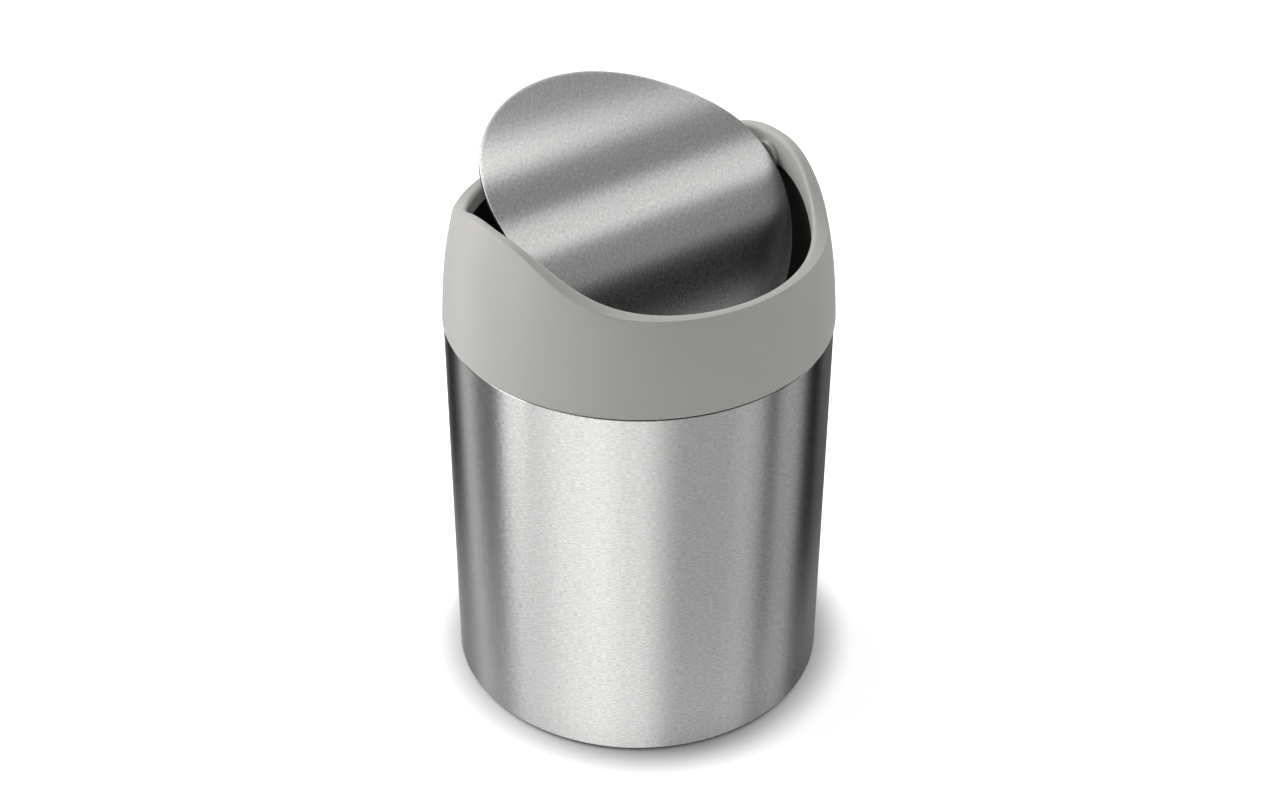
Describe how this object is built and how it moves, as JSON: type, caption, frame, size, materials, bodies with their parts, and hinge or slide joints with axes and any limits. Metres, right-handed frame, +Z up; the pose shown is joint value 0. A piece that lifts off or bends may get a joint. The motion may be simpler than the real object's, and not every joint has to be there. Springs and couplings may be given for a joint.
{
  "type": "swing lid countertop bin",
  "caption": "Small round countertop bin: brushed steel body, lift-off grey collar with two ears, and an arched oval lid that swings either way.",
  "frame": {"origin": "centre of the underside, on the surface that the bin stands on", "axes": "+Z up; +X along the lid's pivot, from ear to ear; -Y towards the front of the rim, on the side where the tipped lid dips into the mouth"},
  "size_m": [0.1198, 0.1198, 0.1863],
  "materials": {
    "brushed_steel_body": "fine horizontal brushing, satin",
    "brushed_steel_lid": "fine brushing from front to back, satin",
    "plain_steel": "plain rolled steel",
    "warm_grey_plastic": "smooth, matte",
    "black_plastic": "matte",
    "grey_plastic": "smooth, self-lubricating",
    "black_rubber": "matte",
    "clear_film": "bonding film"
  },
  "bodies": {
    "bin": {"body_shell": "brushed_steel_body", "bottom_disc": "plain_steel", "base_ring": "black_plastic", "non_slip_ring": "black_rubber"},
    "lid_assembly": {"collar": "warm_grey_plastic", "inner_ring": "black_plastic", "bush_left": "grey_plastic", "bush_right": "grey_plastic"},
    "lid": {"lid_cover": "brushed_steel_lid", "lid_film": "clear_film", "lid_base": "black_plastic", "pivot_pin_left": "plain_steel", "pivot_pin_right": "plain_steel", "counterweight": "plain_steel", "weight_screws": "plain_steel"}
  },
  "joints": [
    {"name": "collar_lift", "type": "slide", "parent": "bin", "child": "lid_assembly", "axis": [0, 0, 1], "range_m": [0, 0.06]},
    {"name": "lid_swing", "type": "hinge", "parent": "lid_assembly", "child": "lid", "pos_m": [0, 0, 0.165], "axis": [1, 0, 0], "range_deg": [-105, 45]}
  ]
}
